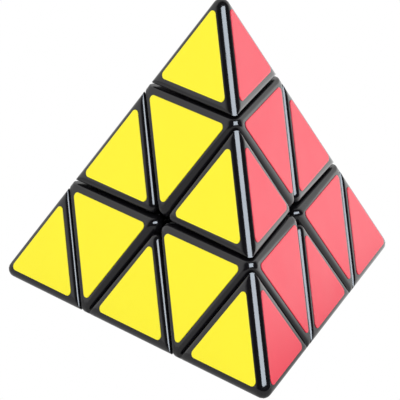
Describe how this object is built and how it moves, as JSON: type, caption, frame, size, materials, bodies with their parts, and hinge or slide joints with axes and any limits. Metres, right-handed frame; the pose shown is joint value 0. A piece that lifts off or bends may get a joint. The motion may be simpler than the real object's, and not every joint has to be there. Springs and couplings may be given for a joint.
{
  "type": "pyramid twisty puzzle",
  "caption": "Pyramid twisty puzzle with turning corner layers and tips, coloured stickers on black pieces, and a sprung, screwed core.",
  "frame": {"origin": "centre of the core, where the four axles cross", "axes": "+Z along the axle to the top corner, -Y towards the middle of the yellow face, so the left and right corners lie towards -X and +X and the back corner towards +Y"},
  "size_m": [0.098, 0.0856, 0.0811],
  "materials": {
    "black_plastic": "moulded ABS, smooth and glossy",
    "core_plastic": "moulded nylon or ABS, satin",
    "steel": "zinc-plated steel",
    "sticker_yellow": "vinyl sticker, satin",
    "sticker_red": "vinyl sticker, satin",
    "sticker_blue": "vinyl sticker, satin",
    "sticker_green": "vinyl sticker, satin"
  },
  "bodies": {
    "core": {"core": "core_plastic", "screws": "steel", "springs": "steel", "washers": "steel"},
    "layer_top": {"axial_top": "black_plastic", "sticker_red_axial_top": "sticker_red", "sticker_blue_axial_top": "sticker_blue", "sticker_yellow_axial_top": "sticker_yellow"},
    "tip_top": {"tip_shell_top": "black_plastic", "tip_base_top": "core_plastic", "sticker_red_tip_top": "sticker_red", "sticker_blue_tip_top": "sticker_blue", "sticker_yellow_tip_top": "sticker_yellow"},
    "layer_left": {"axial_left": "black_plastic", "sticker_green_axial_left": "sticker_green", "sticker_blue_axial_left": "sticker_blue", "sticker_yellow_axial_left": "sticker_yellow"},
    "tip_left": {"tip_shell_left": "black_plastic", "tip_base_left": "core_plastic", "sticker_green_tip_left": "sticker_green", "sticker_blue_tip_left": "sticker_blue", "sticker_yellow_tip_left": "sticker_yellow"},
    "layer_right": {"axial_right": "black_plastic", "sticker_green_axial_right": "sticker_green", "sticker_red_axial_right": "sticker_red", "sticker_yellow_axial_right": "sticker_yellow"},
    "tip_right": {"tip_shell_right": "black_plastic", "tip_base_right": "core_plastic", "sticker_green_tip_right": "sticker_green", "sticker_red_tip_right": "sticker_red", "sticker_yellow_tip_right": "sticker_yellow"},
    "layer_back": {"axial_back": "black_plastic", "sticker_green_axial_back": "sticker_green", "sticker_red_axial_back": "sticker_red", "sticker_blue_axial_back": "sticker_blue"},
    "tip_back": {"tip_shell_back": "black_plastic", "tip_base_back": "core_plastic", "sticker_green_tip_back": "sticker_green", "sticker_red_tip_back": "sticker_red", "sticker_blue_tip_back": "sticker_blue"},
    "edge_top_left": {"edge_top_left": "black_plastic", "sticker_blue_edge_top_left": "sticker_blue", "sticker_yellow_edge_top_left": "sticker_yellow"},
    "edge_top_right": {"edge_top_right": "black_plastic", "sticker_red_edge_top_right": "sticker_red", "sticker_yellow_edge_top_right": "sticker_yellow"},
    "edge_top_back": {"edge_top_back": "black_plastic", "sticker_red_edge_top_back": "sticker_red", "sticker_blue_edge_top_back": "sticker_blue"},
    "edge_left_right": {"edge_left_right": "black_plastic", "sticker_green_edge_left_right": "sticker_green", "sticker_yellow_edge_left_right": "sticker_yellow"},
    "edge_left_back": {"edge_left_back": "black_plastic", "sticker_green_edge_left_back": "sticker_green", "sticker_blue_edge_left_back": "sticker_blue"},
    "edge_right_back": {"edge_right_back": "black_plastic", "sticker_green_edge_right_back": "sticker_green", "sticker_red_edge_right_back": "sticker_red"}
  },
  "joints": [
    {"name": "turn_layer_top", "type": "hinge", "parent": "core", "child": "layer_top", "pos_m": [0, 0, 0], "axis": [0, 0, 1], "range_deg": [-240, 120]},
    {"name": "turn_layer_left", "type": "hinge", "parent": "core", "child": "layer_left", "pos_m": [0, 0, 0], "axis": [-0.8165, -0.4714, -0.3333], "range_deg": [-240, 120]},
    {"name": "turn_layer_right", "type": "hinge", "parent": "core", "child": "layer_right", "pos_m": [0, 0, 0], "axis": [0.8165, -0.4714, -0.3333], "range_deg": [-240, 120]},
    {"name": "turn_layer_back", "type": "hinge", "parent": "core", "child": "layer_back", "pos_m": [0, 0, 0], "axis": [0, 0.9428, -0.3333], "range_deg": [-240, 120]},
    {"name": "turn_tip_top", "type": "hinge", "parent": "layer_top", "child": "tip_top", "pos_m": [0, 0, 0], "axis": [0, 0, 1], "continuous": true},
    {"name": "turn_tip_left", "type": "hinge", "parent": "layer_left", "child": "tip_left", "pos_m": [0, 0, 0], "axis": [-0.8165, -0.4714, -0.3333], "continuous": true},
    {"name": "turn_tip_right", "type": "hinge", "parent": "layer_right", "child": "tip_right", "pos_m": [0, 0, 0], "axis": [0.8165, -0.4714, -0.3333], "continuous": true},
    {"name": "turn_tip_back", "type": "hinge", "parent": "layer_back", "child": "tip_back", "pos_m": [0, 0, 0], "axis": [0, 0.9428, -0.3333], "continuous": true},
    {"name": "carry_edge_top_left", "type": "hinge", "parent": "layer_top", "child": "edge_top_left", "pos_m": [0, 0, 0], "axis": [-0.8165, -0.4714, -0.3333], "range_deg": [-240, 120]},
    {"name": "carry_edge_top_right", "type": "hinge", "parent": "layer_top", "child": "edge_top_right", "pos_m": [0, 0, 0], "axis": [0.8165, -0.4714, -0.3333], "range_deg": [-240, 120]},
    {"name": "carry_edge_top_back", "type": "hinge", "parent": "layer_top", "child": "edge_top_back", "pos_m": [0, 0, 0], "axis": [0, 0.9428, -0.3333], "range_deg": [-240, 120]},
    {"name": "carry_edge_left_right", "type": "hinge", "parent": "layer_left", "child": "edge_left_right", "pos_m": [0, 0, 0], "axis": [0.8165, -0.4714, -0.3333], "range_deg": [-240, 120]},
    {"name": "carry_edge_left_back", "type": "hinge", "parent": "layer_back", "child": "edge_left_back", "pos_m": [0, 0, 0], "axis": [-0.8165, -0.4714, -0.3333], "range_deg": [-240, 120]},
    {"name": "carry_edge_right_back", "type": "hinge", "parent": "layer_right", "child": "edge_right_back", "pos_m": [0, 0, 0], "axis": [0, 0.9428, -0.3333], "range_deg": [-240, 120]}
  ],
  "couplings": [
    {"joint": "carry_edge_top_left", "follows": "turn_layer_left", "ratio": 1},
    {"joint": "carry_edge_top_right", "follows": "turn_layer_right", "ratio": 1},
    {"joint": "carry_edge_top_back", "follows": "turn_layer_back", "ratio": 1},
    {"joint": "carry_edge_left_right", "follows": "turn_layer_right", "ratio": 1},
    {"joint": "carry_edge_left_back", "follows": "turn_layer_left", "ratio": 1},
    {"joint": "carry_edge_right_back", "follows": "turn_layer_back", "ratio": 1}
  ]
}
